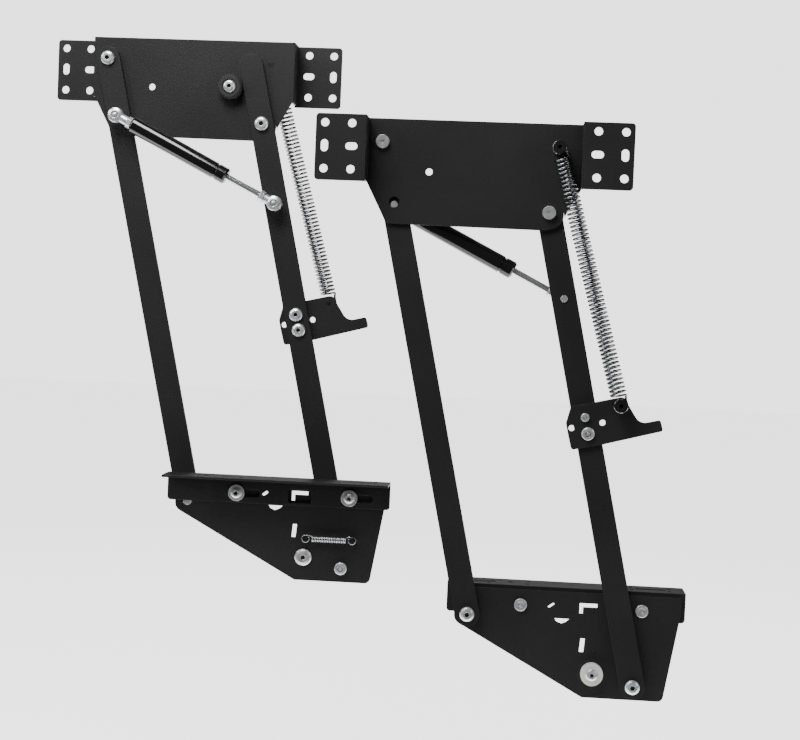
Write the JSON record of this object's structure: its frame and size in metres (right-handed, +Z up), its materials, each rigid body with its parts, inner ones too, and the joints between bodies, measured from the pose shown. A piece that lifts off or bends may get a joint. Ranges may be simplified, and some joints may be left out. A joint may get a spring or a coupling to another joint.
{
  "type": "appliance lift mechanism",
  "caption": "Pair of spring-assisted parallelogram lift brackets with gas struts that raise a cupboard shelf out and up.",
  "frame": {"origin": "centre of the left unit's wall screw pattern, on the wall face of its screw tabs", "axes": "+X to the right of the picture, along the screw tabs; +Y away from the viewer, into the left unit's wall; +Z up"},
  "size_m": [0.5849, 0.138, 0.5579],
  "materials": {
    "powder_black": "satin powder coat",
    "zinc": "bright zinc",
    "rubber": "matt",
    "black_post": "blackened steel",
    "gloss_black": "gloss lacquer",
    "chrome_rod": "polished",
    "spring_wire": "bright wire",
    "pale_nylon": "matt"
  },
  "bodies": {
    "wall_brackets": {"a_upper_bracket": "powder_black", "a_bumper": "rubber", "a_bumper_screw": "zinc", "a_spring_post_upper": "black_post", "a_top_bolts": "zinc", "a_top_nuts": "zinc", "b_upper_bracket": "powder_black", "b_bumper": "rubber", "b_bumper_screw": "zinc", "b_spring_post_upper": "black_post", "b_top_bolts": "zinc", "b_top_nuts": "zinc"},
    "a_front_arm": {"a_front_arm": "powder_black", "a_strut_stud_front": "zinc"},
    "a_rear_arm": {"a_rear_arm": "powder_black", "a_spring_bracket": "powder_black", "a_bracket_bolts": "zinc", "a_spring_post_lower": "black_post", "a_strut_rivet_rear": "zinc"},
    "a_strut_tube": {"a_strut_tube": "gloss_black", "a_strut_end_front": "zinc"},
    "a_strut_rod": {"a_strut_rod": "chrome_rod", "a_strut_end_rear": "zinc"},
    "a_lift_spring": {"a_lift_spring": "spring_wire"},
    "a_lower_plate": {"a_lower_plate": "powder_black", "a_low_bolts": "zinc", "a_stop_disc": "pale_nylon", "a_stop_bolt": "zinc", "a_small_posts": "black_post", "a_small_spring": "spring_wire", "a_rail_bolts": "zinc", "a_rail_washers": "zinc"},
    "a_shelf_rail": {"a_shelf_rail": "powder_black"},
    "b_front_arm": {"b_front_arm": "powder_black", "b_strut_stud_front": "zinc"},
    "b_rear_arm": {"b_rear_arm": "powder_black", "b_spring_bracket": "powder_black", "b_bracket_bolts": "zinc", "b_spring_post_lower": "black_post", "b_strut_rivet_rear": "zinc"},
    "b_strut_tube": {"b_strut_tube": "gloss_black", "b_strut_end_front": "zinc"},
    "b_strut_rod": {"b_strut_rod": "chrome_rod", "b_strut_end_rear": "zinc"},
    "b_lift_spring": {"b_lift_spring": "spring_wire"},
    "b_lower_plate": {"b_lower_plate": "powder_black", "b_low_bolts": "zinc", "b_stop_disc": "pale_nylon", "b_stop_bolt": "zinc", "b_small_posts": "black_post", "b_small_spring": "spring_wire", "b_rail_bolts": "zinc", "b_rail_washers": "zinc"},
    "b_shelf_rail": {"b_shelf_rail": "powder_black"}
  },
  "joints": [
    {"name": "a_lift", "type": "hinge", "parent": "wall_brackets", "child": "a_front_arm", "pos_m": [-0.0775, -0.029, 0.007], "axis": [0, 1, 0], "range_deg": [0, 110], "stiffness_Nm_per_rad": 0.6, "springref_deg": -103.13},
    {"name": "a_rear_arm_turn", "type": "hinge", "parent": "wall_brackets", "child": "a_rear_arm", "pos_m": [0.0645, -0.029, -0.0475], "axis": [0, 1, 0], "range_deg": [0, 110]},
    {"name": "a_plate_turn", "type": "hinge", "parent": "a_front_arm", "child": "a_lower_plate", "pos_m": [0.01037, -0.034, -0.38938], "axis": [0, 1, 0], "range_deg": [-110, 0]},
    {"name": "a_rail_adjust", "type": "slide", "parent": "a_lower_plate", "child": "a_shelf_rail", "axis": [1, 0, 0], "range_m": [-0.018, 0]},
    {"name": "a_strut_turn", "type": "hinge", "parent": "a_front_arm", "child": "a_strut_tube", "pos_m": [-0.06592, -0.042, -0.04523], "axis": [0, 1, 0], "range_deg": [-112, 0]},
    {"name": "a_strut_slide", "type": "slide", "parent": "a_strut_tube", "child": "a_strut_rod", "axis": [0.8934, 0, -0.4493], "range_m": [-0.0321, 0]},
    {"name": "a_spring_turn", "type": "hinge", "parent": "wall_brackets", "child": "a_lift_spring", "pos_m": [0.0705, -0.0115, 0.006], "axis": [0, 1, 0], "range_deg": [0, 87], "deforming": ["a_lift_spring"]},
    {"name": "b_lift", "type": "hinge", "parent": "wall_brackets", "child": "b_front_arm", "pos_m": [0.1815, -0.109, -0.068], "axis": [0, 1, 0], "range_deg": [0, 110], "stiffness_Nm_per_rad": 0.6, "springref_deg": -103.13},
    {"name": "b_rear_arm_turn", "type": "hinge", "parent": "wall_brackets", "child": "b_rear_arm", "pos_m": [0.3235, -0.109, -0.1225], "axis": [0, 1, 0], "range_deg": [0, 110]},
    {"name": "b_plate_turn", "type": "hinge", "parent": "b_front_arm", "child": "b_lower_plate", "pos_m": [0.26937, -0.104, -0.46438], "axis": [0, 1, 0], "range_deg": [-110, 0]},
    {"name": "b_rail_adjust", "type": "slide", "parent": "b_lower_plate", "child": "b_shelf_rail", "axis": [1, 0, 0], "range_m": [-0.018, 0]},
    {"name": "b_strut_turn", "type": "hinge", "parent": "b_front_arm", "child": "b_strut_tube", "pos_m": [0.19308, -0.096, -0.12023], "axis": [0, 1, 0], "range_deg": [-112, 0]},
    {"name": "b_strut_slide", "type": "slide", "parent": "b_strut_tube", "child": "b_strut_rod", "axis": [0.8934, 0, -0.4493], "range_m": [-0.0321, 0]},
    {"name": "b_spring_turn", "type": "hinge", "parent": "wall_brackets", "child": "b_lift_spring", "pos_m": [0.3295, -0.1265, -0.069], "axis": [0, 1, 0], "range_deg": [0, 87], "deforming": ["b_lift_spring"]}
  ],
  "couplings": [
    {"joint": "a_rear_arm_turn", "follows": "a_lift", "ratio": 1},
    {"joint": "a_plate_turn", "follows": "a_lift", "ratio": -1},
    {"joint": "a_strut_turn", "follows": "a_lift", "ratio": -1.0173},
    {"joint": "a_strut_slide", "follows": "a_lift", "m_per_rad": -0.016668},
    {"joint": "a_spring_turn", "follows": "a_lift", "ratio": 0.788},
    {"joint": "b_rear_arm_turn", "follows": "b_lift", "ratio": 1},
    {"joint": "b_plate_turn", "follows": "b_lift", "ratio": -1},
    {"joint": "b_strut_turn", "follows": "b_lift", "ratio": -1.0173},
    {"joint": "b_strut_slide", "follows": "b_lift", "m_per_rad": -0.016668},
    {"joint": "b_spring_turn", "follows": "b_lift", "ratio": 0.788}
  ]
}
